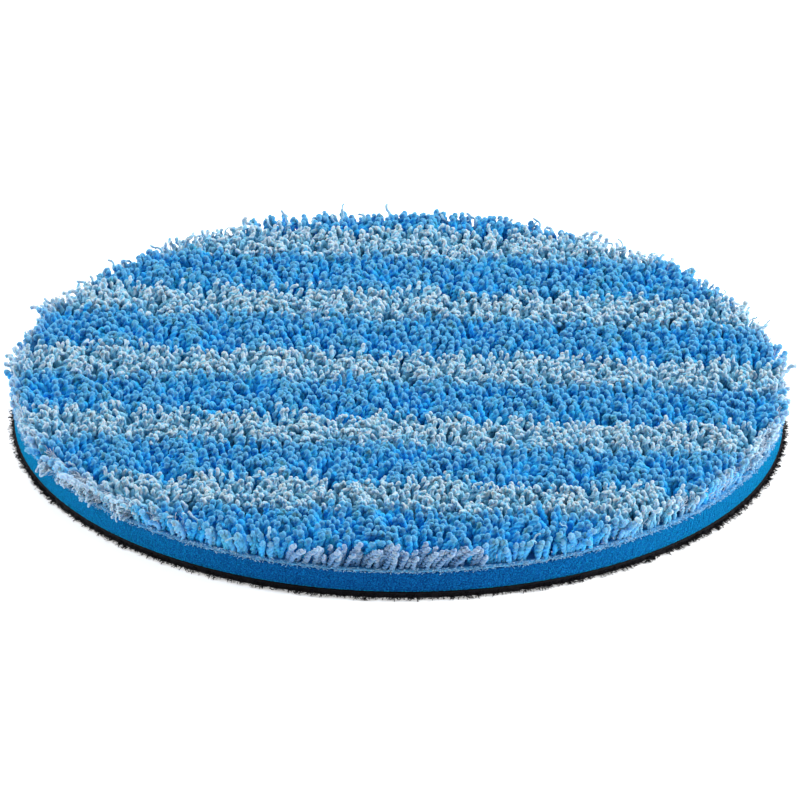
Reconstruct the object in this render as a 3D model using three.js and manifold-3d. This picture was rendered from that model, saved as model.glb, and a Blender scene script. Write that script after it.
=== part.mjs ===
// Round polishing pad for a dual-action or rotary car polisher.
// A striped twisted-yarn pile on a ground cloth is bonded to a thin open-cell foam disc,
// and the foam is bonded to a black loop fabric that presses onto a hook-faced backing plate.
//
// Units are millimetres and +Z is up. The pad lies on its loop fabric, pile up.
// The origin is the centre of the loop fabric's lower face, and the stripes run along X.

import * as THREE from 'three';
import * as BufferGeometryUtils from 'three/addons/utils/BufferGeometryUtils.js';
import Module from 'manifold-3d';

const wasm = await Module();
wasm.setup();

// Driving dimensions.
const PAD_DIAMETER = 150;
const LOOP_FABRIC_THICKNESS = 1.4;
const ADHESIVE_THICKNESS = 0.15;
const FOAM_THICKNESS = 4.0;
const GROUND_CLOTH_THICKNESS = 0.5;
const PILE_HEIGHT = 5.6;

// The die cuts the fabrics clean and the foam springs back a little inside them.
const FOAM_INSET = 0.2;
const ADHESIVE_INSET = 0.5;

// Widths of the stripes in Y. The cloth repeats a pale and a blue one, and the round cut shortens
// the two at the -Y rim and the last one at the +Y rim.
const PALE_WIDTH = 12.32;
const BLUE_WIDTH = 15.84;
const WHOLE_REPEATS = 4;
const FRONT_PALE_WIDTH = 3.52;
const FRONT_BLUE_WIDTH = 14.08;
const STRIPE_GAP = 0.3; // the parting between one yarn's tufts and the next yarn's

// The tufts at the rim lean out past the cloth and round over at their tips.
const PILE_ROOT_RADIUS = PAD_DIAMETER / 2 - 0.4;
const PILE_RADIUS = PAD_DIAMETER / 2 + 0.68;
const PILE_EDGE_ROUND = 2.4;
const PILE_BULGE_HEIGHT = 2.2;
const EDGE_ROUND_STEPS = 4;

const AROUND = 96; // sides of each round piece

// Heights of the faces, from the loop fabric up.
const LOOP_TOP = LOOP_FABRIC_THICKNESS;
const FOAM_BOTTOM = LOOP_TOP + ADHESIVE_THICKNESS;
const FOAM_TOP = FOAM_BOTTOM + FOAM_THICKNESS;
const CLOTH_BOTTOM = FOAM_TOP + ADHESIVE_THICKNESS;
const CLOTH_TOP = CLOTH_BOTTOM + GROUND_CLOTH_THICKNESS;
const PILE_TOP = CLOTH_TOP + PILE_HEIGHT;

// The Y of each stripe's -Y edge, with the +Y rim last.
const stripeEdges = [-PILE_RADIUS, FRONT_PALE_WIDTH - PILE_RADIUS];
stripeEdges.push(stripeEdges[1] + FRONT_BLUE_WIDTH);
for (let repeat = 0; repeat < WHOLE_REPEATS; repeat += 1) {
  const paleFront = stripeEdges.at(-1);
  stripeEdges.push(paleFront + PALE_WIDTH, paleFront + PALE_WIDTH + BLUE_WIDTH);
}
stripeEdges.push(stripeEdges.at(-1) + PALE_WIDTH, PILE_RADIUS);

const FINISHES = {
  loopFabric: { color: 0x17161a, roughness: 0.95, metalness: 0 },
  adhesive: { color: 0x9fb4c4, roughness: 0.6, metalness: 0 },
  foam: { color: 0x0d68ad, roughness: 0.9, metalness: 0 },
  groundCloth: { color: 0x7fb6dc, roughness: 0.95, metalness: 0 },
  blueYarn: { color: 0x3689c4, roughness: 0.9, metalness: 0 },
  paleYarn: { color: 0xa9cbe2, roughness: 0.9, metalness: 0 },
};

function namedMesh(name, geometry, finish) {
  const mesh = new THREE.Mesh(geometry, new THREE.MeshStandardMaterial(finish));
  mesh.name = name;
  return mesh;
}

// A profile of [radius, height] points, from the axis out and back to it, turned about Z.
function turned(profile) {
  const points = profile.map(([radius, height]) => new THREE.Vector2(radius, height));
  const geometry = new THREE.LatheGeometry(points, AROUND);
  geometry.rotateX(Math.PI / 2);
  geometry.deleteAttribute('normal');
  geometry.deleteAttribute('uv');
  return BufferGeometryUtils.mergeVertices(geometry);
}

function disc(radius, bottom, top) {
  return turned([[0, bottom], [radius, bottom], [radius, top], [0, top]]);
}

// The whole pile as one turned shape: it bulges past its roots, then rounds in to a flat top.
function pileShape() {
  const profile = [[0, CLOTH_TOP], [PILE_ROOT_RADIUS, CLOTH_TOP]];
  profile.push([PILE_RADIUS, CLOTH_TOP + PILE_BULGE_HEIGHT]);
  for (let step = 0; step <= EDGE_ROUND_STEPS; step += 1) {
    const angle = step / EDGE_ROUND_STEPS * Math.PI / 2;
    const radius = PILE_RADIUS - PILE_EDGE_ROUND * (1 - Math.cos(angle));
    profile.push([radius, PILE_TOP - PILE_EDGE_ROUND * (1 - Math.sin(angle))]);
  }
  profile.push([0, PILE_TOP]);
  return turned(profile);
}

function toSolid(geometry) {
  const mesh = new wasm.Mesh({
    numProp: 3,
    vertProperties: new Float32Array(geometry.attributes.position.array),
    triVerts: new Uint32Array(geometry.index.array),
  });
  return new wasm.Manifold(mesh);
}

function toGeometry(solid) {
  const mesh = solid.getMesh();
  const geometry = new THREE.BufferGeometry();
  geometry.setAttribute('position', new THREE.BufferAttribute(mesh.vertProperties, 3));
  geometry.setIndex(new THREE.BufferAttribute(mesh.triVerts, 1));
  return geometry;
}

// A block between two Y planes, large enough to cover the pile in X and Z.
function slab(front, back) {
  const geometry = new THREE.BoxGeometry(3 * PILE_RADIUS, back - front, 3 * PILE_TOP);
  geometry.translate(0, (front + back) / 2, 0);
  geometry.deleteAttribute('normal');
  geometry.deleteAttribute('uv');
  return toSolid(BufferGeometryUtils.mergeVertices(geometry));
}

// Pale and blue stripes take turns, and the first, at the -Y rim, is pale.
function pileStripes() {
  const pile = toSolid(pileShape());
  const lastStripe = stripeEdges.length - 2;
  const counts = { pale: 0, blue: 0 };
  return stripeEdges.slice(0, -1).map((front, index) => {
    const yarn = index % 2 === 0 ? 'pale' : 'blue';
    counts[yarn] += 1;
    const back = stripeEdges[index + 1];
    const cutFront = index === 0 ? front - 1 : front + STRIPE_GAP / 2;
    const cutBack = index === lastStripe ? back + 1 : back - STRIPE_GAP / 2;
    const geometry = toGeometry(pile.intersect(slab(cutFront, cutBack)));
    const finish = yarn === 'pale' ? FINISHES.paleYarn : FINISHES.blueYarn;
    return namedMesh(`pile_${yarn}_${counts[yarn]}`, geometry, finish);
  });
}

function loopFabric() {
  return namedMesh('loop_fabric', disc(PAD_DIAMETER / 2, 0, LOOP_TOP), FINISHES.loopFabric);
}

function adhesiveFilm(name, bottom) {
  const radius = PAD_DIAMETER / 2 - ADHESIVE_INSET;
  return namedMesh(name, disc(radius, bottom, bottom + ADHESIVE_THICKNESS), FINISHES.adhesive);
}

function foamDisc() {
  const radius = PAD_DIAMETER / 2 - FOAM_INSET;
  return namedMesh('foam_disc', disc(radius, FOAM_BOTTOM, FOAM_TOP), FINISHES.foam);
}

function groundCloth() {
  const geometry = disc(PAD_DIAMETER / 2, CLOTH_BOTTOM, CLOTH_TOP);
  return namedMesh('ground_cloth', geometry, FINISHES.groundCloth);
}

const pad = new THREE.Group();
pad.add(loopFabric());
pad.add(adhesiveFilm('lower_adhesive', LOOP_TOP));
pad.add(foamDisc());
pad.add(adhesiveFilm('upper_adhesive', FOAM_TOP));
pad.add(groundCloth());
pad.add(...pileStripes());

export default pad;
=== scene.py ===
"""Striped microfibre polishing pad: the visual model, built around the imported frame.

The pile is real geometry: every tuft is its own two-ply twisted strand of yarn. Lengths are in metres.
"""
import math
from collections import namedtuple

import bpy
import numpy as np
from mathutils import Matrix, Vector


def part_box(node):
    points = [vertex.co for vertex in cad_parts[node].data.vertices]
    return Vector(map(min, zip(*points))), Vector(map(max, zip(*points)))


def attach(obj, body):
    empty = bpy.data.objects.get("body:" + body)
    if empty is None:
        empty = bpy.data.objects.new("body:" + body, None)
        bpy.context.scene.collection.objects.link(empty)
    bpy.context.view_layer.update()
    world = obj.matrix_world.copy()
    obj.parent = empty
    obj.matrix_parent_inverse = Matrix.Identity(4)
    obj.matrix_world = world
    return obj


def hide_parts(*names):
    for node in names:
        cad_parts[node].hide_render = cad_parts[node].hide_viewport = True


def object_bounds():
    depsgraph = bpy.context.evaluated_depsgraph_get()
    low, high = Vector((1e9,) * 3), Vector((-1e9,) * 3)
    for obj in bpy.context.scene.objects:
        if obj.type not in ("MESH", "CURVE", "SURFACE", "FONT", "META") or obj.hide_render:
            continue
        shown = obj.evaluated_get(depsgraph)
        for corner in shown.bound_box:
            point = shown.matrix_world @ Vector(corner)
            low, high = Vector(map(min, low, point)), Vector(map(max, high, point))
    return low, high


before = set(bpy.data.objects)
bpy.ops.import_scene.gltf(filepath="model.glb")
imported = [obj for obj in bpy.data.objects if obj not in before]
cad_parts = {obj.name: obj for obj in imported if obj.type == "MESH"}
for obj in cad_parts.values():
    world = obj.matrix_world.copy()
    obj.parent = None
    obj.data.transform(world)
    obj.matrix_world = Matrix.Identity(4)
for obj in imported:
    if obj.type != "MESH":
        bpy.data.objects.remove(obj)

CAD_BOX = [list(map(float, corner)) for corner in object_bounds()]
MM = 0.001
TAU = 2 * math.pi

# ---------------------------------------------------------------- places, from the frame


def box(node):
    low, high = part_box(node)
    return np.array(low, float), np.array(high, float)


LOOP_LOW, LOOP_HIGH = box("loop_fabric")
FOAM_LOW, FOAM_HIGH = box("foam_disc")
CLOTH_LOW, CLOTH_HIGH = box("ground_cloth")
CLOTH_RADIUS = CLOTH_HIGH[0]
LOOP_RADIUS = LOOP_HIGH[0]
FOAM_RADIUS = FOAM_HIGH[0]
CLOTH_TOP = CLOTH_HIGH[2]
PILE_TOP = CAD_BOX[1][2]
PILE_HEIGHT = PILE_TOP - CLOTH_TOP

ROOT_MARGIN = 0.4 * MM  # from the outermost row of tufts to the cloth's cut edge
ROOT_DEPTH = 0.1 * MM  # how far a root reaches into the cloth
RIM_PITCH = 1.05 * MM  # between the tufts of the outermost row
RIM_DEPTH = 1.2 * MM  # how far in from that row its tufts stray
RIM_STRAY = 0.30 * MM  # the scatter that they have besides
FLOOR_CLEARANCE = 0.02 * MM
EDGE_ROUND = 4.0 * MM  # the pile's top falls away over this width at its rim
EDGE_FALL = 0.75  # how far it falls, as a share of that width
RIM_WIDTH = 5 * MM  # the tufts this near the edge lean outwards
RIM_WORN = 0.15  # how far the yarn all round the rim is worn pale
PALE_RIM_WIDTH = 3.5 * MM  # the width at the rim over which the yarn is paler, from wear and painted sheen
DROOP_ANGLE = math.radians(-141)  # the direction of the clump that hangs over the edge
DROOP_SPREAD = math.radians(11)
DROOP_CLUMPS = np.radians([-10, -5, 1, 8])  # its matted clumps, from that direction
CLUMP_SIZES = [0.82, 0.55, 0.75, 0.65]
CLUMP_STRANDS = 26

# ---------------------------------------------------------------- numbers and fields


def smoothstep(low, high, x):
    t = np.clip((x - low) / (high - low), 0, 1)
    return t * t * (3 - 2 * t)


def drift(points, wavelength, seed, waves=9):
    """A smooth random field over X and Y, about -1.5 to 1.5, the same on each run."""
    rng = np.random.default_rng(seed)
    angle = rng.uniform(0, TAU, waves)
    number = TAU / wavelength * rng.uniform(0.6, 1.4, waves)
    phase = rng.uniform(0, TAU, waves)
    along = points[:, :1] * np.cos(angle) + points[:, 1:2] * np.sin(angle)
    return np.sin(along * number + phase).sum(1) / math.sqrt(waves / 2)


# ---------------------------------------------------------------- meshes


def make_object(name, vertices, faces_by_size, attributes=None):
    """An object from vertices and a list of index arrays, one array for each number of corners."""
    mesh = bpy.data.meshes.new(name)
    mesh.vertices.add(len(vertices))
    mesh.vertices.foreach_set("co", np.ascontiguousarray(vertices, np.float32).ravel())
    corners = np.concatenate([faces.ravel() for faces in faces_by_size]).astype(np.int32)
    sizes = np.concatenate([np.full(len(faces), faces.shape[1]) for faces in faces_by_size])
    mesh.loops.add(len(corners))
    mesh.loops.foreach_set("vertex_index", corners)
    mesh.polygons.add(len(sizes))
    starts = np.concatenate([[0], np.cumsum(sizes)[:-1]]).astype(np.int32)
    mesh.polygons.foreach_set("loop_start", starts)
    mesh.update(calc_edges=True)
    mesh.shade_smooth()
    for key, values in (attributes or {}).items():
        layer = mesh.attributes.new(key, "FLOAT", "POINT")
        layer.data.foreach_set("value", np.ascontiguousarray(values, np.float32).ravel())
    obj = bpy.data.objects.new(name, mesh)
    bpy.context.scene.collection.objects.link(obj)
    return obj


# How a yarn is spun: its rings and sides as a mesh, the rings of its rounded tip in radii past its end,
# the length of one turn of its two plies, how deep the groove between them is, how far it wanders off
# its line and over what length, and its radius at the root.
Spin = namedtuple("Spin", "rings sides cap turn groove kink kink_turn root_scale")
ROUND_CAP = (0.35, 0.65, 0.87)
BLUNT_CAP = (0.7,)
CAP_LENGTH = 1.02
CAP_TWIST = 0.6  # round the tip the plies have this share of their twist
BEND = 1.2  # above 1, a strand bends more towards its tip
CURL_CENTRE = 0.4  # the share of its length at which a strand points along its heading

# Where strands lie, one value of each for every strand: a strand bends from the angle start to the angle
# lean, both from upright, in the direction heading, which curl turns on the way.
Lay = namedtuple("Lay", "roots length radius start lean heading curl")


def strands(lay, spin, rng):
    """Closed twisted strands, as (vertices, [faces of each size], attributes)."""
    roots, length, radius, start, lean, heading, curl = lay
    count, rings, sides = len(roots), spin.rings, spin.sides
    cap = np.array(spin.cap)
    t = np.linspace(0, 1, rings)
    angle = start[:, None] + (lean - start)[:, None] * t ** BEND
    direction = heading[:, None] + curl[:, None] * (t - CURL_CENTRE)
    tangent = np.stack(
        [np.sin(angle) * np.cos(direction), np.sin(angle) * np.sin(direction), np.cos(angle)], -1)
    step = (length / (rings - 1))[:, None, None]
    centre = np.zeros((count, rings, 3))
    centre[:, 1:] = np.cumsum((tangent[:, 1:] + tangent[:, :-1]) / 2 * step, axis=1)
    centre += roots[:, None, :]
    # Two directions square to the strand.
    across = np.stack([-np.sin(heading), np.cos(heading), np.zeros(count)], -1)[:, None, :]
    across = across - (across * tangent).sum(-1, keepdims=True) * tangent
    across /= np.linalg.norm(across, axis=-1, keepdims=True)
    other = np.cross(tangent, across)
    arc = length[:, None] * t
    wander = rng.uniform(0, TAU, count)[:, None] + TAU * arc / spin.kink_turn
    size = (spin.kink * smoothstep(0, 0.5, t))[None, :, None]
    centre += size * (np.cos(wander)[..., None] * across + np.sin(wander)[..., None] * other)
    # The rounded tip.
    end = centre[:, -1:] + tangent[:, -1:] * (cap[None, :, None] * radius[:, None, None])
    centre = np.concatenate([centre, end], 1)
    caps = len(cap)
    across = np.concatenate([across, np.repeat(across[:, -1:], caps, 1)], 1)
    other = np.concatenate([other, np.repeat(other[:, -1:], caps, 1)], 1)
    arc = np.concatenate([arc, arc[:, -1:] + cap * radius[:, None] * CAP_TWIST], 1)
    swell = spin.root_scale + (1 - spin.root_scale) * smoothstep(0, 0.6, t)
    swell = np.concatenate([swell, np.sqrt(1 - cap ** 2)])
    # The corners of each ring follow the plies round the strand.
    corner = np.arange(sides) * TAU / sides
    ply = np.cos(corner)
    around = rng.uniform(0, TAU, count)[:, None] + TAU * arc / spin.turn
    around = around[:, :, None] + corner
    reach = 1 - spin.groove + spin.groove * np.abs(ply)
    reach = radius[:, None, None] * swell[None, :, None] * reach[None, None, :]
    vertices = centre[:, :, None, :] + reach[..., None] * (
        np.cos(around)[..., None] * across[:, :, None, :]
        + np.sin(around)[..., None] * other[:, :, None, :])
    rings += caps
    pole = centre[:, rings - caps - 1] + tangent[:, -1] * (CAP_LENGTH * radius)[:, None]
    per = rings * sides + 1
    vertices = np.concatenate([vertices.reshape(count, -1, 3), pole[:, None]], 1).reshape(-1, 3)
    # Faces of one strand, then of all.
    ring, side = np.meshgrid(np.arange(rings - 1), np.arange(sides), indexing="ij")
    ring, side = ring.ravel(), side.ravel()
    after = (side + 1) % sides
    quads = np.stack([ring * sides + side, ring * sides + after,
                      (ring + 1) * sides + after, (ring + 1) * sides + side], -1)
    last = (rings - 1) * sides
    turn = np.arange(sides)
    tips = np.stack([last + turn, last + (turn + 1) % sides, np.full(sides, rings * sides)], -1)
    base = np.arange(sides)[::-1][None, :]
    offset = (np.arange(count) * per)[:, None, None]
    faces = [(part[None] + offset).reshape(-1, part.shape[1]) for part in (quads, tips, base)]
    height = np.concatenate([t, np.ones(caps)])
    along = np.repeat(height, sides)
    attributes = {
        "along": np.tile(np.append(along, 1.0), count),
        "ply": np.tile(np.append(np.tile(ply, rings), 0.0), count),
        "tone": np.repeat(rng.uniform(0, 1, count), per),
    }
    return vertices, faces, attributes


PIECE_TRIANGLES = 180_000  # a bigger run of strands is made as several pieces


def strand_pieces(name, lay, spin, rng, order, worn=None, top=1.0):
    """Objects of the strands, in runs taken by the values of order.

    top is the value of along at the tips, so strands that stop lower down can match their neighbours in the
    colour by height, which is partly painted light and shade.
    """
    triangles = len(lay.roots) * 2 * spin.sides * (spin.rings + len(spin.cap))
    runs = np.array_split(np.argsort(order), math.ceil(triangles / PIECE_TRIANGLES))
    pieces = []
    for number, run in enumerate(runs, 1):
        vertices, faces, attributes = strands(Lay(*(values[run] for values in lay)), spin, rng)
        vertices[:, 2] = np.maximum(vertices[:, 2], CAD_BOX[0][2] + FLOOR_CLEARANCE)
        attributes["along"] *= top
        if worn is not None:
            attributes["worn"] = np.repeat(worn[run], len(vertices) // len(run))
        part = f"_part_{number}" if len(runs) > 1 else ""
        pieces.append(make_object(name + part, vertices, faces, attributes))
    return pieces


def ring_mesh(profile_radius, profile_height, around, push):
    """A closed turned body: profile rings joined up, with a fan over each end.

    push(angle, height) gives each vertex's radial shift.
    """
    angle = np.arange(around) * TAU / around
    vertices = []
    for radius, height in zip(profile_radius, profile_height):
        reach = radius + push(angle, height)
        vertices.append(np.stack(
            [reach * np.cos(angle), reach * np.sin(angle), np.full(around, height)], -1))
    rings = len(vertices)
    vertices = np.concatenate(vertices + [[[0, 0, profile_height[0]]], [[0, 0, profile_height[-1]]]])
    ring, side = np.meshgrid(np.arange(rings - 1), np.arange(around), indexing="ij")
    ring, side = ring.ravel(), side.ravel()
    after = (side + 1) % around
    quads = np.stack([ring * around + side, ring * around + after,
                      (ring + 1) * around + after, (ring + 1) * around + side], -1)
    turn = np.arange(around)
    low, high = rings * around, rings * around + 1
    top = (rings - 1) * around
    fans = np.concatenate([
        np.stack([(turn + 1) % around, turn, np.full(around, low)], -1),
        np.stack([top + turn, top + (turn + 1) % around, np.full(around, high)], -1)])
    return vertices, [quads, fans]


# ---------------------------------------------------------------- materials


def new_material(name):
    material = bpy.data.materials.new(name)
    material.use_nodes = True
    nodes, links = material.node_tree.nodes, material.node_tree.links
    nodes.clear()
    shader = nodes.new("ShaderNodeBsdfPrincipled")
    output = nodes.new("ShaderNodeOutputMaterial")
    links.new(shader.outputs["BSDF"], output.inputs["Surface"])
    return material, nodes, links, shader


def attribute(nodes, name):
    node = nodes.new("ShaderNodeAttribute")
    node.attribute_name = name
    return node.outputs["Fac"]


def noise(nodes, links, scale, detail=2.0, roughness=0.5):
    place = nodes.new("ShaderNodeTexCoord")
    node = nodes.new("ShaderNodeTexNoise")
    node.inputs["Scale"].default_value = scale
    node.inputs["Detail"].default_value = detail
    node.inputs["Roughness"].default_value = roughness
    links.new(place.outputs["Object"], node.inputs["Vector"])
    return node.outputs["Fac"]


def ramp(nodes, links, value, stops):
    node = nodes.new("ShaderNodeValToRGB")
    elements = node.color_ramp.elements
    while len(elements) < len(stops):
        elements.new(0.5)
    for element, (position, colour) in zip(elements, stops):
        element.position = position
        element.color = (*colour, 1)
    links.new(value, node.inputs["Fac"])
    return node.outputs["Color"]


def mix_colour(nodes, links, factor, first, second):
    """Two colours mixed by a factor; each colour is a socket or a tuple."""
    node = nodes.new("ShaderNodeMix")
    node.data_type = "RGBA"
    # Sockets 6 and 7 of a Mix node are its two colours, and output 2 is the mixed colour.
    for socket, value in zip((node.inputs[0], node.inputs[6], node.inputs[7]), (factor, first, second)):
        if isinstance(value, tuple):
            socket.default_value = (*value, 1)
        else:
            links.new(value, socket)
    return node.outputs[2]


def spread(nodes, links, value, low, high, to_low=0.0, to_high=1.0):
    node = nodes.new("ShaderNodeMapRange")
    node.inputs["From Min"].default_value = low
    node.inputs["From Max"].default_value = high
    node.inputs["To Min"].default_value = to_low
    node.inputs["To Max"].default_value = to_high
    links.new(value, node.inputs["Value"])
    return node.outputs["Result"]


def bump(nodes, links, height, distance, strength, shader):
    node = nodes.new("ShaderNodeBump")
    node.inputs["Distance"].default_value = distance
    node.inputs["Strength"].default_value = strength
    links.new(height, node.inputs["Height"])
    links.new(node.outputs["Normal"], shader.inputs["Normal"])


def translucent(shader, weight, depth):
    """Light carries a little way through the yarn, blue the furthest."""
    shader.inputs["Subsurface Weight"].default_value = weight
    shader.inputs["Subsurface Radius"].default_value = (0.25, 0.7, 1.0)
    shader.inputs["Subsurface Scale"].default_value = depth


def soft_fibre(shader, roughness, sheen, sheen_roughness, specular):
    shader.inputs["Roughness"].default_value = roughness
    shader.inputs["Specular IOR Level"].default_value = specular
    shader.inputs["Sheen Weight"].default_value = sheen
    shader.inputs["Sheen Roughness"].default_value = sheen_roughness


# A yarn's colour from its root, 0, to its tip, 1. Strands that stop lower down end below 1, so this is colour
# by height in the pile, and partly painted light and shade.
# Blue: the bright vivid blue low down is painted light that lifts the shade deep between the tufts; the
# greyer, whiter blue at the tips is partly the bloomed fibre ends and partly painted sheen.
BLUE_STOPS = [(0.0, (0.0, 0.38, 0.94)), (0.6, (0.0, 0.38, 0.90)), (0.85, (0.014, 0.34, 0.71)),
              (1.0, (0.078, 0.29, 0.50))]
# Pale: the dark teal low down is painted shade deep in the pile; the pale tips are the yarn's own colour.
PALE_STOPS = [(0.0, (0.004, 0.34, 0.66)), (0.5, (0.06, 0.42, 0.68)), (0.74, (0.20, 0.49, 0.69)),
              (0.88, (0.44, 0.57, 0.68)), (1.0, (0.45, 0.56, 0.64))]
# Lavender, for the front cords: a darker copy of the pale yarn's colours. The grey-lavender hue is the yarn's
# own; the lower value all along is painted shade on the cords' front-facing side, and the darker blue low
# down is painted shade deep in the pile.
SHADED_LAVENDER_STOPS = [(0.0, (0.03, 0.20, 0.48)), (0.5, (0.16, 0.32, 0.56)), (0.8, (0.25, 0.39, 0.59)),
                  (1.0, (0.30, 0.42, 0.60))]
WEAR_AND_SHEEN_COLOUR = (0.37, 0.52, 0.67)  # yarn brushed out at the rim by wear, and painted sheen at the stripes' two ends: paler and slightly lavender


def blue_yarn():
    """Vivid blue at the root and a duller, greyer blue at the tips. The bright root blue is painted light
    that lifts the shade between the tufts, and the tips' grey is partly bloomed fibre ends and partly painted
    sheen.
    """
    material, nodes, links, shader = new_material("blue_microfibre_yarn")
    height = ramp(nodes, links, attribute(nodes, "along"), BLUE_STOPS)
    tone = spread(nodes, links, attribute(nodes, "tone"), 0.0, 1.0, 0.0, 0.35)
    shade = mix_colour(nodes, links, tone, height, (0.02, 0.36, 0.66))
    fibre = spread(nodes, links, noise(nodes, links, 4200, 3.0), 0.45, 0.8, 0.0, 0.3)
    fibre = mix_colour(nodes, links, fibre, shade, (0.12, 0.40, 0.64))
    # Paler near the rim: wear, and painted sheen at the stripes' two ends.
    worn = mix_colour(nodes, links, attribute(nodes, "worn"), fibre, WEAR_AND_SHEEN_COLOUR)
    links.new(worn, shader.inputs["Base Color"])
    soft_fibre(shader, 0.55, 0.12, 0.4, 0.2)
    shader.inputs["Sheen Tint"].default_value = (0.5, 0.8, 1.0, 1)
    translucent(shader, 0.7, 1.2 * MM)
    bump(nodes, links, noise(nodes, links, 7000, 2.0), 0.00012, 0.5, shader)
    return material


def pale_yarn(name, stops, second_ply, fibre_colour):
    """One ply is pale and the other is a mid blue, so the strand is two-tone."""
    material, nodes, links, shader = new_material(name)
    height = ramp(nodes, links, attribute(nodes, "along"), stops)
    side = spread(nodes, links, attribute(nodes, "ply"), -0.5, 0.2)
    two_tone = mix_colour(nodes, links, side, second_ply, height)
    tone = spread(nodes, links, attribute(nodes, "tone"), 0.0, 1.0, 0.0, 0.6)
    shade = mix_colour(nodes, links, tone, two_tone, height)
    fibre = spread(nodes, links, noise(nodes, links, 4600, 3.0), 0.45, 0.8, 0.0, 0.3)
    fibre = mix_colour(nodes, links, fibre, shade, fibre_colour)
    # Paler near the rim: wear, and painted sheen at the stripes' two ends.
    worn = mix_colour(nodes, links, attribute(nodes, "worn"), fibre, WEAR_AND_SHEEN_COLOUR)
    links.new(worn, shader.inputs["Base Color"])
    soft_fibre(shader, 0.5, 0.15, 0.4, 0.35)
    translucent(shader, 0.45, 0.8 * MM)
    bump(nodes, links, noise(nodes, links, 8000, 2.0), 0.00010, 0.5, shader)
    return material


def open_cell_foam():
    material, nodes, links, shader = new_material("open_cell_foam")
    cells = noise(nodes, links, 3800, 2.5, 0.6)
    colour = ramp(nodes, links, cells, [
        (0.34, (0.001, 0.022, 0.13)), (0.50, (0.003, 0.070, 0.30)), (0.66, (0.006, 0.18, 0.54))])
    links.new(colour, shader.inputs["Base Color"])
    soft_fibre(shader, 0.9, 0.9, 0.4, 0.02)
    shader.inputs["Sheen Tint"].default_value = (0.0, 0.66, 0.92, 1)
    bump(nodes, links, cells, 0.0004, 1.0, shader)
    return material


def ground_weave():
    """The knitted ground: dark deep blue inside, which is painted shade under the pile, and the cloth's own
    paler blue at its cut edge.
    """
    material, nodes, links, shader = new_material("ground_cloth_knit")
    cloud = noise(nodes, links, 1800, 3.0, 0.6)
    colour = ramp(nodes, links, cloud, [
        (0.3, (0.0, 0.07, 0.26)), (0.55, (0.004, 0.15, 0.40)), (0.75, (0.03, 0.26, 0.55))])
    place = nodes.new("ShaderNodeTexCoord")
    reach = nodes.new("ShaderNodeVectorMath")
    reach.operation = "LENGTH"
    links.new(place.outputs["Object"], reach.inputs[0])
    # Paler over the last 0.8 mm to the cut edge: the cloth's own blue. The darker blue inside is painted
    # shade.
    edge = spread(nodes, links, reach.outputs["Value"], CLOTH_RADIUS - 0.8 * MM, CLOTH_RADIUS)
    colour = mix_colour(nodes, links, edge, colour, (0.08, 0.36, 0.66))
    links.new(colour, shader.inputs["Base Color"])
    soft_fibre(shader, 0.8, 0.1, 0.5, 0.15)
    bump(nodes, links, cloud, 0.0002, 0.7, shader)
    return material


def pale_fibre(name, stops):
    """Loose filament, each one a tone between the stops."""
    material, nodes, links, shader = new_material(name)
    shade = ramp(nodes, links, attribute(nodes, "tone"), stops)
    fibre = spread(nodes, links, noise(nodes, links, 5000, 2.0), 0.4, 0.8, 0.0, 0.5)
    colour = mix_colour(nodes, links, fibre, shade, (0.55, 0.72, 0.88))
    links.new(colour, shader.inputs["Base Color"])
    soft_fibre(shader, 0.7, 0.2, 0.5, 0.2)
    return material


def black_nylon(name, colour, roughness):
    material, nodes, links, shader = new_material(name)
    cloud = noise(nodes, links, 3000, 3.0, 0.6)
    dark = tuple(channel * 0.45 for channel in colour)
    tint = ramp(nodes, links, cloud, [(0.35, dark), (0.7, colour)])
    links.new(tint, shader.inputs["Base Color"])
    soft_fibre(shader, roughness, 0.03, 0.4, 0.12)
    bump(nodes, links, cloud, 0.0001, 0.6, shader)
    return material


def hot_melt():
    material, nodes, links, shader = new_material("hot_melt_adhesive")
    cloud = noise(nodes, links, 900, 2.0)
    tint = ramp(nodes, links, cloud, [(0.3, (0.20, 0.30, 0.40)), (0.7, (0.40, 0.50, 0.60))])
    links.new(tint, shader.inputs["Base Color"])
    shader.inputs["Roughness"].default_value = 0.5
    bump(nodes, links, cloud, 0.0001, 0.4, shader)
    return material


def studio_floor():
    material, nodes, links, shader = new_material("studio_floor")
    colour = ramp(nodes, links, noise(nodes, links, 3, 2.0), [
        (0.4, (0.93, 0.93, 0.93)), (0.6, (0.95, 0.95, 0.95))])
    links.new(colour, shader.inputs["Base Color"])
    shader.inputs["Roughness"].default_value = 0.9
    shader.inputs["Emission Color"].default_value = (1, 1, 1, 1)
    shader.inputs["Emission Strength"].default_value = FLOOR_GLOW
    return material


def dress(obj, material, slot, *nodes):
    """Gives a piece its material and its body, and hides the CAD nodes it stands for; slot is not used."""
    obj.data.materials.append(material)
    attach(obj, "root")
    if nodes:
        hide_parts(*nodes)
    return obj


# ---------------------------------------------------------------- the pile

BLUE_SPIN = Spin(rings=20, sides=8, cap=ROUND_CAP, turn=2.2 * MM, groove=0.42, kink=0.10 * MM,
                 kink_turn=4.0 * MM, root_scale=0.78)
PALE_SPIN = Spin(rings=25, sides=7, cap=ROUND_CAP, turn=1.5 * MM, groove=0.42, kink=0.22 * MM,
                 kink_turn=2.1 * MM, root_scale=0.85)
CORD_SPIN = Spin(rings=34, sides=8, cap=ROUND_CAP, turn=1.5 * MM, groove=0.50, kink=0.10 * MM,
                 kink_turn=3.0 * MM, root_scale=0.9)
UNDER_SPIN = Spin(rings=8, sides=6, cap=ROUND_CAP, turn=2.6 * MM, groove=0.30, kink=0.12 * MM,
                  kink_turn=3.0 * MM, root_scale=0.8)
UNDER_TOP = 0.72  # the short yarn between the tufts stands to about this share of the pile's height

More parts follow.
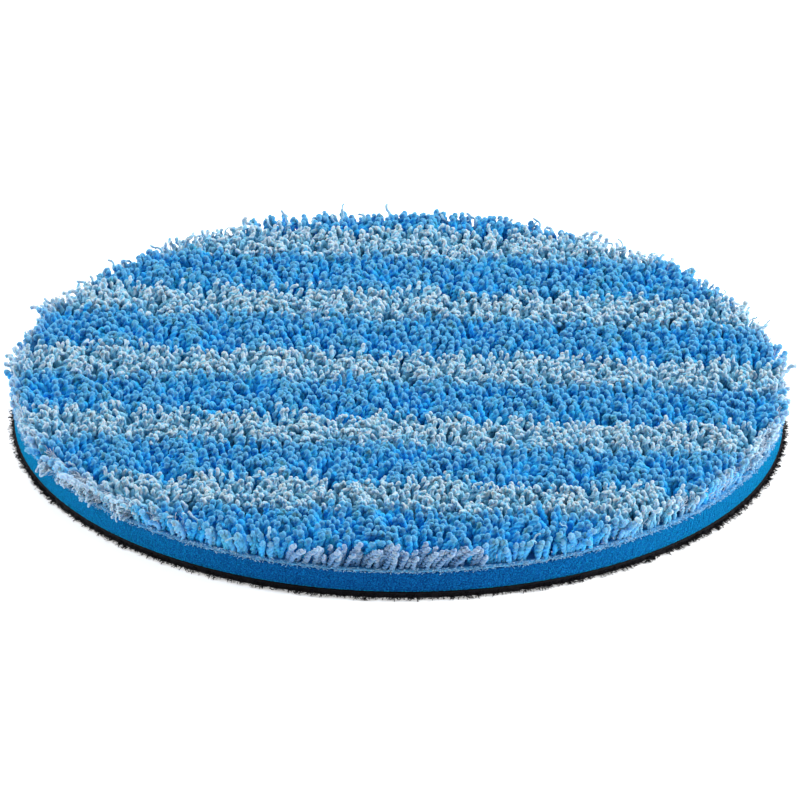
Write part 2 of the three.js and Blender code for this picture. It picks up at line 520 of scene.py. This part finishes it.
# How a stripe's tufts stand: the pitch of a row's tufts and of the rows, the yarn's radius, the scatter
# of the tips' height, the spread of their lean in radians, how far a root strays from its place, a lean
# in X and Y that all of them share, and the share of its lean that a tuft has at its root already.
Stand = namedtuple("Stand", "gap row radius scatter lean stray sweep set_out")
BLUE_STAND = Stand(gap=1.95 * MM, row=1.66 * MM, radius=0.68 * MM, scatter=0.28 * MM, lean=0.30,
                   stray=0.26 * MM, sweep=(0, 0), set_out=0.2)
PALE_STAND = Stand(gap=1.75 * MM, row=1.50 * MM, radius=0.50 * MM, scatter=0.42 * MM, lean=0.58,
                   stray=0.36 * MM, sweep=(0, 0), set_out=0.1)
# The sliver of pale stripe at the -Y rim shows its yarn from the side, as thick cords swept to +X.
CORD_STAND = Stand(gap=1.50 * MM, row=1.25 * MM, radius=0.60 * MM, scatter=0.6 * MM, lean=0.30,
                   stray=0.30 * MM, sweep=(0.48, -0.10), set_out=0.5)
CORD_TOP = 0.86  # they stand to this share of the pile's height


def stripe_edges():
    """Each stripe's node name with its front and back edge, from the -Y rim to the +Y rim."""
    stripes = sorted(((name, *box(name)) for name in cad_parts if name.startswith("pile_")),
                     key=lambda stripe: stripe[1][1])
    names, lows, highs = zip(*stripes)
    fronts = [low[1] for low in lows]
    backs = [high[1] for high in highs]
    # Neighbours share the middle of the gap between them.
    inner = [(back + front) / 2 for back, front in zip(backs, fronts[1:])]
    edges = [fronts[0], *inner, backs[-1]]
    return list(zip(names, edges, edges[1:]))


def tuft_roots(front, back, stand, rng):
    """Staggered rows of roots between two Y planes, closed off by a row that follows the rim."""
    rows = max(1, round((back - front) / stand.row))
    points = []
    for row in range(rows):
        y = front + (row + 0.5) * (back - front) / rows
        x = np.arange(-CLOTH_RADIUS - stand.gap, CLOTH_RADIUS + stand.gap, stand.gap)
        x = x + stand.gap / 2 * (row % 2)
        points.append(np.stack([x, np.full(len(x), y)], -1))
    points = np.concatenate(points)
    points += rng.normal(0, stand.stray, points.shape)
    rim_row = CLOTH_RADIUS - ROOT_MARGIN
    points = points[np.hypot(points[:, 0], points[:, 1]) < rim_row - 0.75 * stand.row]
    turn = np.arange(round(TAU * rim_row / RIM_PITCH)) * RIM_PITCH / rim_row
    rim = rim_row * np.stack([np.cos(turn), np.sin(turn)], -1)
    rim = rim[(rim[:, 1] >= front) & (rim[:, 1] < back)]
    rim *= 1 - rng.uniform(0, RIM_DEPTH, (len(rim), 1)) / rim_row
    rim += rng.normal(0, RIM_STRAY, rim.shape)
    rim *= np.minimum(1, rim_row / np.hypot(rim[:, 0], rim[:, 1]))[:, None]
    points = np.concatenate([points, rim])
    return np.column_stack([points, np.full(len(points), CLOTH_TOP - ROOT_DEPTH)])


def droop(points):
    """1 where the rim's tufts hang over, fading to 0 to either side."""
    off = np.angle(np.exp(1j * (np.arctan2(points[:, 1], points[:, 0]) - DROOP_ANGLE)))
    return np.exp(-(off / DROOP_SPREAD) ** 2)


def pale_wear_and_sheen(points, least=0.0):
    """How far the yarn is painted pale, which is only near the rim.

    It is about least all round, more at the two ends of the stripes, and most in the droop. All round and in
    the droop the paleness is wear; the extra at the stripes' two ends, the pad's left and right sides, is
    painted sheen.
    """
    reach = np.hypot(points[:, 0], points[:, 1])
    near = smoothstep(CLOTH_RADIUS - PALE_RIM_WIDTH, CLOTH_RADIUS, reach)
    # The term in X to the fourth power is painted sheen at the stripes' two ends; least and the droop term
    # are wear.
    side = least + 0.45 * (points[:, 0] / CLOTH_RADIUS) ** 4 + 0.7 * droop(points)
    return np.clip(near * side * (1 + 0.6 * drift(points, 5 * MM, 8)), 0, 1)


SWIRL_WAVE = 13 * MM  # neighbours within about this far lean together
SWIRL_LEAN = 0.28
RIM_PUSH = 0.45  # the lean outwards at the rim
DROOP_PUSH = 0.95  # how much more the droop's tufts lean outwards


def tuft_pose(roots, stand, rng):
    """Each tuft's lean and heading: the way its neighbours lie, its own scatter, and out at the rim."""
    swirl = np.stack([drift(roots, SWIRL_WAVE, 5), drift(roots, SWIRL_WAVE, 6)], -1) * SWIRL_LEAN
    own = rng.normal(0, stand.lean / math.sqrt(2), (len(roots), 2))
    reach = np.hypot(roots[:, 0], roots[:, 1])
    outward = roots[:, :2] / reach[:, None]
    rim = smoothstep(CLOTH_RADIUS - RIM_WIDTH, CLOTH_RADIUS, reach)
    own *= 1 - 0.1 * rim[:, None]
    swirl *= 1 - 0.6 * rim[:, None]
    push = RIM_PUSH * rim * (1 + 0.30 * drift(roots, 18 * MM, 7))
    push += DROOP_PUSH * droop(roots) * smoothstep(CLOTH_RADIUS - 2.5 * MM, CLOTH_RADIUS, reach)
    way = swirl + own + outward * push[:, None] + np.array(stand.sweep)
    lean = np.clip(np.hypot(way[:, 0], way[:, 1]), 0.02, 1.4)
    return lean, np.arctan2(way[:, 1], way[:, 0])


def edge_drop(roots):
    """How much shorter the rim's tufts are, so that the pile's edge is round."""
    reach = np.hypot(roots[:, 0], roots[:, 1])
    into = np.clip((reach - CLOTH_RADIUS) / EDGE_ROUND + 1, 0, 1)
    return EDGE_FALL * EDGE_ROUND * (1 - np.sqrt(1 - into ** 2))


LEAST_HEIGHT = 0.3  # the shortest tuft's height, as a share of the pile's
LONGEST = 1.2  # the longest tuft's yarn, as a share of the pile's height
TIP_RISE = 0.3 * MM  # a tip stands at most this far over the pile's height


def tuft_lay(roots, stand, rng, top=1.0):
    """Where tufts lie. top is the share of the pile's height that their tips reach."""
    lean, heading = tuft_pose(roots, stand, rng)
    count = len(roots)
    height = top * PILE_HEIGHT - stand.radius + rng.normal(0, stand.scatter, count) - edge_drop(roots)
    height = np.clip(height, LEAST_HEIGHT * PILE_HEIGHT, PILE_HEIGHT + TIP_RISE - stand.radius)
    # A strand stands about as high as a straight one at this angle.
    average = lean * (stand.set_out + 0.6 * (1 - stand.set_out))
    length = np.minimum(height / np.cos(average), LONGEST * PILE_HEIGHT)
    radius = stand.radius * rng.uniform(0.88, 1.12, count)
    return Lay(roots, length, radius, stand.set_out * lean, lean, heading, rng.normal(0, 0.5, count))


def short_yarn(node, front, back, stand, rng):
    """The shorter, fluffier yarn that fills the pile between a stripe's tufts."""
    roots = tuft_roots(front, back, stand, rng)
    roots[:, :2] += rng.uniform(-0.5, 0.5, (len(roots), 2)) * (stand.gap, stand.row)
    reach = np.hypot(roots[:, 0], roots[:, 1])
    kept = (reach < CLOTH_RADIUS - 1.5 * ROOT_MARGIN) & (roots[:, 1] > front) & (roots[:, 1] < back)
    roots, reach = roots[kept], reach[kept]
    lay = tuft_lay(roots, stand, rng, UNDER_TOP)
    # It is fluffier than a tuft, and less so at the rim.
    thick = 1.2 - 0.35 * smoothstep(CLOTH_RADIUS - RIM_WIDTH, CLOTH_RADIUS, reach)
    return strand_pieces("short_yarn_" + node, lay._replace(radius=lay.radius * thick), UNDER_SPIN, rng,
                         roots[:, 0], pale_wear_and_sheen(roots, RIM_WORN), UNDER_TOP)


def make_pile(blue, pale, cord):
    for order, (node, front, back) in enumerate(stripe_edges()):
        rng = np.random.default_rng(100 + order)
        at_front_rim = order == 0
        if at_front_rim:
            stand, spin, top, material, slot = CORD_STAND, CORD_SPIN, CORD_TOP, cord, "pale_yarn"
        elif "pale" in node:
            stand, spin, top, material, slot = PALE_STAND, PALE_SPIN, 1.0, pale, "pale_yarn"
        else:
            stand, spin, top, material, slot = BLUE_STAND, BLUE_SPIN, 1.0, blue, "blue_yarn"
        roots = tuft_roots(front, back, stand, rng)
        lay = tuft_lay(roots, stand, rng, top)
        pieces = strand_pieces("tufts_" + node, lay, spin, rng, roots[:, 0], pale_wear_and_sheen(roots, RIM_WORN))
        if not at_front_rim:
            pieces += short_yarn(node, front, back, stand, rng)
        for piece in pieces:
            dress(piece, material, slot, node)


# ---------------------------------------------------------------- cloth, foam and loop fabric


WALL_CLIMB = 4000  # radians for each metre up a wall, the most that its waves shift round it


def wall_noise(seed, size, waves=40, finest=0.5 * MM, coarsest=4 * MM):
    """A rough edge: a radial shift that varies round the wall and up it."""
    rng = np.random.default_rng(seed)
    number = np.round(TAU * CLOTH_RADIUS / rng.uniform(finest, coarsest, waves))
    phase = rng.uniform(0, TAU, waves)
    climb = rng.uniform(-1, 1, waves) * WALL_CLIMB

    def push(angle, height):
        wave = np.sin(number[:, None] * angle[None] + phase[:, None] + climb[:, None] * height)
        return size * wave.sum(0) / math.sqrt(waves / 2)

    return push


def make_ground_cloth(material):
    profile = [(CLOTH_RADIUS - 0.35 * MM, CLOTH_LOW[2]), (CLOTH_RADIUS, CLOTH_LOW[2] + 0.12 * MM),
               (CLOTH_RADIUS + 0.05 * MM, CLOTH_TOP - 0.2 * MM), (CLOTH_RADIUS - 0.2 * MM, CLOTH_TOP)]
    radii, heights = zip(*profile)
    cloth = make_object("ground_cloth_knit", *ring_mesh(radii, heights, 900, wall_noise(11, 0.12 * MM)))
    return dress(cloth, material, "ground_cloth", "ground_cloth")


def make_foam(material):
    steps = 18
    heights = np.linspace(FOAM_LOW[2], FOAM_HIGH[2], steps)
    radii = np.full(steps, FOAM_RADIUS)
    push = wall_noise(12, 0.025 * MM, 60, 0.35 * MM, 2 * MM)
    foam = make_object("foam_layer", *ring_mesh(radii, heights, 2000, push))
    return dress(foam, material, "foam", "foam_disc")


LOOP_GROUND = LOOP_LOW[2] + 0.3 * MM  # the knitted ground's lower face; its loops fill the rest


def make_loop_fabric(material):
    heights = np.linspace(LOOP_GROUND, LOOP_HIGH[2], 5)
    radii = np.full(5, LOOP_RADIUS)
    push = wall_noise(13, 0.10 * MM)
    fabric = make_object("loop_fabric_knit", *ring_mesh(radii, heights, 900, push))
    return dress(fabric, material, "loop_fabric", "loop_fabric")


# ---------------------------------------------------------------- fray, nap, fringe and strays

FINE_SPIN = Spin(rings=5, sides=4, cap=BLUNT_CAP, turn=1.2 * MM, groove=0.15, kink=0.05 * MM,
                 kink_turn=1.5 * MM, root_scale=0.9)
LOOSE_SPIN = Spin(rings=22, sides=6, cap=ROUND_CAP, turn=1.6 * MM, groove=0.25, kink=0.18 * MM,
                  kink_turn=2.6 * MM, root_scale=1.0)


def rim_places(count, radius, low, high, rng):
    """Scattered points round a rim, and the outward direction at each."""
    turn = rng.uniform(0, TAU, count)
    reach = radius + rng.uniform(-0.25, 0.0, count) * MM
    places = np.stack([reach * np.cos(turn), reach * np.sin(turn), rng.uniform(low, high, count)], -1)
    return places, turn


def dress_all(pieces, material, slot):
    return [dress(piece, material, slot) for piece in pieces]


def make_cloth_fray(material):
    """Cut yarn ends along the ground cloth's edge, lying every way round it."""
    rng = np.random.default_rng(31)
    count = 5200
    roots, outward = rim_places(count, CLOTH_RADIUS, CLOTH_LOW[2] - 0.1 * MM, CLOTH_TOP + 0.25 * MM, rng)
    start = rng.uniform(1.0, 2.1, count)
    lay = Lay(roots, length=rng.uniform(0.25, 0.75, count) * MM, radius=rng.uniform(0.06, 0.11, count) * MM,
              start=start, lean=start + rng.normal(0, 0.4, count),
              heading=outward + rng.choice([-1, 1], count) * rng.uniform(0.3, 1.5, count),
              curl=rng.normal(0, 0.8, count))
    return dress_all(strand_pieces("cloth_edge_fray", lay, FINE_SPIN, rng, outward), material, "ground_cloth")


def make_rim_fluff(material):
    """Brushed-out filament over the tufts that are pale from wear and painted sheen: thickest where they hang
    over the edge.
    """
    rng = np.random.default_rng(35)
    tries = 60000
    roots, outward = rim_places(tries, CLOTH_RADIUS - 0.4 * MM, CLOTH_TOP + 0.3 * MM,
                                CLOTH_TOP + 3.6 * MM, rng)
    kept = rng.random(tries) < 0.22 * pale_wear_and_sheen(roots)
    roots, outward = roots[kept], outward[kept]
    count = len(roots)
    hang = droop(roots)
    start = 0.5 + 0.5 * hang + rng.normal(0, 0.3, count)
    lay = Lay(roots, length=rng.uniform(0.7, 1.9, count) * MM, radius=rng.uniform(0.05, 0.11, count) * MM,
              start=start, lean=start + 0.3 + 0.8 * hang + rng.normal(0, 0.4, count),
              heading=outward + rng.normal(0, 0.6, count), curl=rng.normal(0, 1.0, count))
    return dress_all(strand_pieces("rim_fluff", lay, FINE_SPIN, rng, outward), material, "pale_yarn")


def make_rim_droop(material):
    """Matted tufts that lie over the cloth's edge in a few clumps and hang against the foam."""
    rng = np.random.default_rng(36)
    count = len(DROOP_CLUMPS) * CLUMP_STRANDS
    across = rng.normal(0, 1.2 * MM, count)
    turn = np.repeat(DROOP_ANGLE + DROOP_CLUMPS, CLUMP_STRANDS) + across / CLOTH_RADIUS
    reach = CLOTH_RADIUS - rng.uniform(0.3, 1.3, count) * MM
    height = CLOTH_TOP + rng.uniform(0.1, 2.6, count) * MM
    size = np.repeat(CLUMP_SIZES, CLUMP_STRANDS)
    # Their tips come together below the middle of the clump.
    lay = Lay(np.stack([reach * np.cos(turn), reach * np.sin(turn), height], -1),
              length=size * rng.uniform(2.4, 4.2, count) * MM, radius=rng.uniform(0.22, 0.42, count) * MM,
              start=rng.uniform(0.7, 1.4, count), lean=rng.uniform(2.2, 2.9, count),
              heading=turn - 0.25 * across / MM + rng.normal(0, 0.35, count), curl=rng.normal(0, 0.7, count))
    return dress_all(strand_pieces("rim_droop", lay, PALE_SPIN, rng, turn, np.full(count, 0.95)), material,
                     "pale_yarn")


def make_fringe(material):
    """Nap that sticks out past the loop fabric's cut edge, in uneven clumps."""
    rng = np.random.default_rng(32)
    count = 10500
    roots, outward = rim_places(count, LOOP_RADIUS, LOOP_LOW[2] + 0.05 * MM, LOOP_HIGH[2] - 0.2 * MM, rng)
    clump = 1 + 0.5 * drift(roots, 1.5 * MM, 9)
    start = rng.uniform(1.3, 2.1, count)
    lay = Lay(roots, length=np.clip(rng.gamma(2.2, 0.24, count) * clump, 0.15, 1.3) * MM,
              radius=rng.uniform(0.045, 0.095, count) * MM, start=start,
              lean=start + rng.normal(0.1, 0.3, count), heading=outward + rng.normal(0, 0.45, count),
              curl=rng.normal(0, 0.6, count))
    return dress_all(strand_pieces("loop_fabric_fringe", lay, FINE_SPIN, rng, outward), material,
                     "loop_fabric")


NAP_PITCH = 1.5 * MM  # between the loops of a row, and between the rows


def make_loop_nap(material):
    """The loops that the backing plate's hooks hold, hanging down in staggered rows."""
    rng = np.random.default_rng(33)
    line = np.arange(-LOOP_RADIUS, LOOP_RADIUS, NAP_PITCH)
    x, y = np.meshgrid(line, line)
    x = x + NAP_PITCH / 2 * (np.arange(len(line)) % 2)[:, None]
    places = np.stack([x.ravel(), y.ravel()], -1)
    places += rng.normal(0, 0.2 * MM, places.shape)
    places = places[np.hypot(places[:, 0], places[:, 1]) < LOOP_RADIUS - 0.4 * MM]
    count = len(places)
    # Each sets out straight down and ends straight up, so it is half a turn.
    lay = Lay(np.column_stack([places, np.full(count, LOOP_GROUND + 0.02 * MM)]),
              length=rng.uniform(0.6, 0.8, count) * MM, radius=rng.uniform(0.06, 0.09, count) * MM,
              start=np.full(count, math.pi), lean=np.zeros(count), heading=rng.uniform(0, TAU, count),
              curl=rng.normal(0, 0.5, count))
    return dress_all(strand_pieces("loop_fabric_nap", lay, FINE_SPIN, rng, places[:, 0]), material,
                     "loop_fabric")


def make_strays(material):
    """Loose curled ends that stand clear of the rim, thickest at the back."""
    rng = np.random.default_rng(34)
    count = 90
    turn = np.where(rng.random(count) < 0.6, rng.uniform(0.1, 0.9, count) * math.pi,
                    rng.uniform(0, TAU, count))
    reach = CLOTH_RADIUS - rng.uniform(0.5, 2.5, count) * MM
    height = CLOTH_TOP + rng.uniform(2.0, 3.4, count) * MM
    start = rng.uniform(0.2, 0.9, count)
    lay = Lay(np.stack([reach * np.cos(turn), reach * np.sin(turn), height], -1),
              length=rng.uniform(2.2, 4.2, count) * MM, radius=rng.uniform(0.16, 0.36, count) * MM,
              start=start, lean=start + rng.uniform(0.2, 1.6, count),
              heading=turn + rng.normal(0, 0.8, count), curl=rng.normal(0, 1.5, count))
    worn = np.full(count, 0.5)
    return dress_all(strand_pieces("rim_strays", lay, LOOSE_SPIN, rng, turn, worn), material, "pale_yarn")


# ---------------------------------------------------------------- studio

CAMERA_ELEVATION = math.radians(25.94)
CAMERA_AZIMUTH = math.radians(2.13)
CAMERA_ROLL = math.radians(0.59)
CAMERA_DISTANCE = 3.0
CAMERA_TARGET = Vector((0.25, 0, 5.77)) * MM
VIEW_WIDTH = 155.8 * MM  # what the picture takes in at the target
SENSOR = 36.0
FLOOR_GLOW = 0.45
FLOOR_HALF_WIDTH = 12.0
FLOOR_GAP = 0.0001  # the floor lies this far under the part
FILL = 0.40  # the world's strength as light
FAR_FLOOR = 0.68  # and as it is seen past the floor's far edge


def make_camera():
    data = bpy.data.cameras.new("camera")
    data.sensor_width = SENSOR
    data.lens = SENSOR * CAMERA_DISTANCE / VIEW_WIDTH
    data.clip_end = 50
    camera = bpy.data.objects.new("camera", data)
    bpy.context.scene.collection.objects.link(camera)
    level = math.cos(CAMERA_ELEVATION)
    offset = Vector((math.sin(CAMERA_AZIMUTH) * level, -math.cos(CAMERA_AZIMUTH) * level,
                     math.sin(CAMERA_ELEVATION))) * CAMERA_DISTANCE
    camera.location = CAMERA_TARGET + offset
    aim = (CAMERA_TARGET - camera.location).to_track_quat("-Z", "Y").to_matrix().to_4x4()
    roll = Matrix.Rotation(CAMERA_ROLL, 4, "Z")
    camera.matrix_world = Matrix.Translation(camera.location) @ aim @ roll
    bpy.context.scene.camera = camera


def area_light(name, place, aim, size, power):
    data = bpy.data.lights.new(name, "AREA")
    data.shape = "RECTANGLE"
    data.size, data.size_y = size
    data.energy = power
    light = bpy.data.objects.new(name, data)
    bpy.context.scene.collection.objects.link(light)
    light.location = place
    light.rotation_euler = (Vector(aim) - Vector(place)).to_track_quat("-Z", "Y").to_euler()


def studio_world():
    """A soft fill, seen past the floor's far edge as the same pale grey as the floor there."""
    world = bpy.data.worlds.new("studio")
    world.use_nodes = True
    nodes, links = world.node_tree.nodes, world.node_tree.links
    sky = nodes["Background"]
    sky.inputs["Color"].default_value = (1, 1, 1, 1)
    path = nodes.new("ShaderNodeLightPath")
    strength = spread(nodes, links, path.outputs["Is Camera Ray"], 0, 1, FILL, FAR_FLOOR)
    links.new(strength, sky.inputs["Strength"])
    return world


def make_studio():
    scene = bpy.context.scene
    scene.view_settings.view_transform = "Standard"
    half = FLOOR_HALF_WIDTH
    corners = [(-half, -half, 0), (half, -half, 0), (half, half, 0), (-half, half, 0)]
    floor = make_object("studio_floor", np.array(corners, float), [np.array([[0, 1, 2, 3]])])
    floor.location.z = CAD_BOX[0][2] - FLOOR_GAP
    floor.data.materials.append(studio_floor())
    scene.world = studio_world()
    centre = (0, 0, 0.005)
    area_light("key_right", (1.05, 0.0, 0.62), centre, (0.6, 0.6), 17)
    area_light("side_left", (-1.05, 0.15, 0.5), centre, (0.6, 0.6), 10)
    area_light("top_back", (0.0, 0.75, 1.1), centre, (0.8, 0.5), 8)


# ---------------------------------------------------------------- make everything

make_camera()
make_studio()
PALE_YARN = pale_yarn("pale_two_tone_yarn", PALE_STOPS, second_ply=(0.12, 0.44, 0.66),
                      fibre_colour=(0.51, 0.60, 0.67))
# The front cords' yarn: the pale yarn with darker colours, which are painted shade on their front-facing
# side.
CORD_YARN = pale_yarn("lavender_two_tone_yarn", SHADED_LAVENDER_STOPS, second_ply=(0.05, 0.22, 0.48),
                      fibre_colour=(0.44, 0.54, 0.68))
make_pile(blue_yarn(), PALE_YARN, CORD_YARN)
cloth = make_ground_cloth(ground_weave())
foam = make_foam(open_cell_foam())
fray = make_cloth_fray(pale_fibre("frayed_cloth_edge", [
    (0.1, (0.03, 0.28, 0.60)), (0.5, (0.12, 0.42, 0.72)), (0.9, (0.34, 0.59, 0.80))]))
make_rim_fluff(pale_fibre("brushed_filament", [
    (0.1, (0.38, 0.52, 0.68)), (0.5, (0.49, 0.60, 0.73)), (0.9, (0.60, 0.69, 0.78))]))
loop_knit = black_nylon("black_loop_knit", (0.009, 0.008, 0.011), 0.8)
loop_fabric = make_loop_fabric(loop_knit)
nap = make_loop_nap(loop_knit)
fringe = make_fringe(black_nylon("black_nap", (0.006, 0.005, 0.008), 0.7))
make_strays(PALE_YARN)
make_rim_droop(PALE_YARN)
for film in ("lower_adhesive", "upper_adhesive"):
    bpy.data.objects[film].material_slots[0].material = hot_melt()
